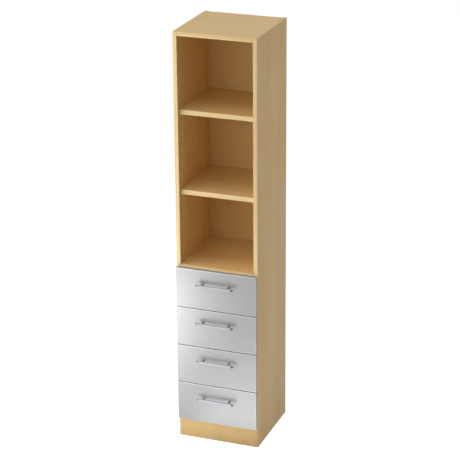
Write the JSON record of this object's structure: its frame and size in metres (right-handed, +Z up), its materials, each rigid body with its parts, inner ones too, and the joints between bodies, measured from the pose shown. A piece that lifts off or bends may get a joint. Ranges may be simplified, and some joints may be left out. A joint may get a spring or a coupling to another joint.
{
  "type": "office storage cabinet",
  "caption": "Tall narrow maple-coloured cabinet: open shelf bays above, silver-grey drawers with bar handles on roller runners below, plain plinth.",
  "frame": {"origin": "on the floor, in the middle of the whole footprint, handles included", "axes": "+X to the right, +Y to the back, +Z up; the drawer fronts face -Y"},
  "size_m": [0.4, 0.451, 2.004],
  "materials": {
    "maple_board": "melamine coated particle board with a fine maple grain, satin",
    "back_board": "melamine coated board with a fine maple grain, satin",
    "silver_board": "particle board coated in plain silver grey, satin",
    "drawer_board": "melamine coated particle board with a fine maple grain, matt",
    "drawer_bottom_board": "coated hardboard, pale grey, matt",
    "satin_steel": "satin nickel plated",
    "dark_steel": "dark nickel plated",
    "nickel_steel": "zinc and nickel plated",
    "cast_zinc": "as cast",
    "coated_rail": "white powder coated sheet steel",
    "white_nylon": "moulded nylon, matt",
    "beech": "fluted beech, raw"
  },
  "bodies": {
    "carcass": {"left_side_panel": "maple_board", "right_side_panel": "maple_board", "top_panel": "maple_board", "middle_panel": "maple_board", "bottom_panel": "maple_board", "plinth_board": "maple_board", "back_panel": "back_board", "upper_shelf": "maple_board", "lower_shelf": "maple_board", "shelf_pins": "nickel_steel", "cam_housings": "cast_zinc", "cam_bolts": "nickel_steel", "dowels": "beech", "back_panel_screws": "nickel_steel", "cabinet_rails": "coated_rail", "cabinet_rail_screws": "nickel_steel"},
    "drawer_1": {"drawer_1_front": "silver_board", "drawer_1_left_side": "drawer_board", "drawer_1_right_side": "drawer_board", "drawer_1_back": "drawer_board", "drawer_1_bottom": "drawer_bottom_board", "drawer_1_handle_bar": "satin_steel", "drawer_1_handle_posts": "dark_steel", "drawer_1_screws": "nickel_steel", "drawer_1_drawer_rails": "coated_rail"},
    "drawer_1_front_rollers": {"drawer_1_front_rollers": "white_nylon"},
    "drawer_1_rear_rollers": {"drawer_1_rear_rollers": "white_nylon"},
    "drawer_2": {"drawer_2_front": "silver_board", "drawer_2_left_side": "drawer_board", "drawer_2_right_side": "drawer_board", "drawer_2_back": "drawer_board", "drawer_2_bottom": "drawer_bottom_board", "drawer_2_handle_bar": "satin_steel", "drawer_2_handle_posts": "dark_steel", "drawer_2_screws": "nickel_steel", "drawer_2_drawer_rails": "coated_rail"},
    "drawer_2_front_rollers": {"drawer_2_front_rollers": "white_nylon"},
    "drawer_2_rear_rollers": {"drawer_2_rear_rollers": "white_nylon"},
    "drawer_3": {"drawer_3_front": "silver_board", "drawer_3_left_side": "drawer_board", "drawer_3_right_side": "drawer_board", "drawer_3_back": "drawer_board", "drawer_3_bottom": "drawer_bottom_board", "drawer_3_handle_bar": "satin_steel", "drawer_3_handle_posts": "dark_steel", "drawer_3_screws": "nickel_steel", "drawer_3_drawer_rails": "coated_rail"},
    "drawer_3_front_rollers": {"drawer_3_front_rollers": "white_nylon"},
    "drawer_3_rear_rollers": {"drawer_3_rear_rollers": "white_nylon"},
    "drawer_4": {"drawer_4_front": "silver_board", "drawer_4_left_side": "drawer_board", "drawer_4_right_side": "drawer_board", "drawer_4_back": "drawer_board", "drawer_4_bottom": "drawer_bottom_board", "drawer_4_handle_bar": "satin_steel", "drawer_4_handle_posts": "dark_steel", "drawer_4_screws": "nickel_steel", "drawer_4_drawer_rails": "coated_rail"},
    "drawer_4_front_rollers": {"drawer_4_front_rollers": "white_nylon"},
    "drawer_4_rear_rollers": {"drawer_4_rear_rollers": "white_nylon"}
  },
  "joints": [
    {"name": "drawer_1_slide", "type": "slide", "parent": "carcass", "child": "drawer_1", "axis": [0, -1, 0], "range_m": [0, 0.288]},
    {"name": "drawer_1_front_rollers_turn", "type": "hinge", "parent": "carcass", "child": "drawer_1_front_rollers", "pos_m": [0, -0.1445, 0.7217], "axis": [1, 0, 0], "range_deg": [0, 1651]},
    {"name": "drawer_1_rear_rollers_turn", "type": "hinge", "parent": "drawer_1", "child": "drawer_1_rear_rollers", "pos_m": [0, 0.1645, 0.7195], "axis": [1, 0, 0], "range_deg": [0, 1651]},
    {"name": "drawer_2_slide", "type": "slide", "parent": "carcass", "child": "drawer_2", "axis": [0, -1, 0], "range_m": [0, 0.288]},
    {"name": "drawer_2_front_rollers_turn", "type": "hinge", "parent": "carcass", "child": "drawer_2_front_rollers", "pos_m": [0, -0.1445, 0.5277], "axis": [1, 0, 0], "range_deg": [0, 1651]},
    {"name": "drawer_2_rear_rollers_turn", "type": "hinge", "parent": "drawer_2", "child": "drawer_2_rear_rollers", "pos_m": [0, 0.1645, 0.5255], "axis": [1, 0, 0], "range_deg": [0, 1651]},
    {"name": "drawer_3_slide", "type": "slide", "parent": "carcass", "child": "drawer_3", "axis": [0, -1, 0], "range_m": [0, 0.288]},
    {"name": "drawer_3_front_rollers_turn", "type": "hinge", "parent": "carcass", "child": "drawer_3_front_rollers", "pos_m": [0, -0.1445, 0.3337], "axis": [1, 0, 0], "range_deg": [0, 1651]},
    {"name": "drawer_3_rear_rollers_turn", "type": "hinge", "parent": "drawer_3", "child": "drawer_3_rear_rollers", "pos_m": [0, 0.1645, 0.3315], "axis": [1, 0, 0], "range_deg": [0, 1651]},
    {"name": "drawer_4_slide", "type": "slide", "parent": "carcass", "child": "drawer_4", "axis": [0, -1, 0], "range_m": [0, 0.288]},
    {"name": "drawer_4_front_rollers_turn", "type": "hinge", "parent": "carcass", "child": "drawer_4_front_rollers", "pos_m": [0, -0.1445, 0.1352], "axis": [1, 0, 0], "range_deg": [0, 1651]},
    {"name": "drawer_4_rear_rollers_turn", "type": "hinge", "parent": "drawer_4", "child": "drawer_4_rear_rollers", "pos_m": [0, 0.1645, 0.133], "axis": [1, 0, 0], "range_deg": [0, 1651]}
  ],
  "couplings": [
    {"joint": "drawer_1_front_rollers_turn", "follows": "drawer_1_slide", "rad_per_m": 100},
    {"joint": "drawer_1_rear_rollers_turn", "follows": "drawer_1_slide", "rad_per_m": 100},
    {"joint": "drawer_2_front_rollers_turn", "follows": "drawer_2_slide", "rad_per_m": 100},
    {"joint": "drawer_2_rear_rollers_turn", "follows": "drawer_2_slide", "rad_per_m": 100},
    {"joint": "drawer_3_front_rollers_turn", "follows": "drawer_3_slide", "rad_per_m": 100},
    {"joint": "drawer_3_rear_rollers_turn", "follows": "drawer_3_slide", "rad_per_m": 100},
    {"joint": "drawer_4_front_rollers_turn", "follows": "drawer_4_slide", "rad_per_m": 100},
    {"joint": "drawer_4_rear_rollers_turn", "follows": "drawer_4_slide", "rad_per_m": 100}
  ]
}
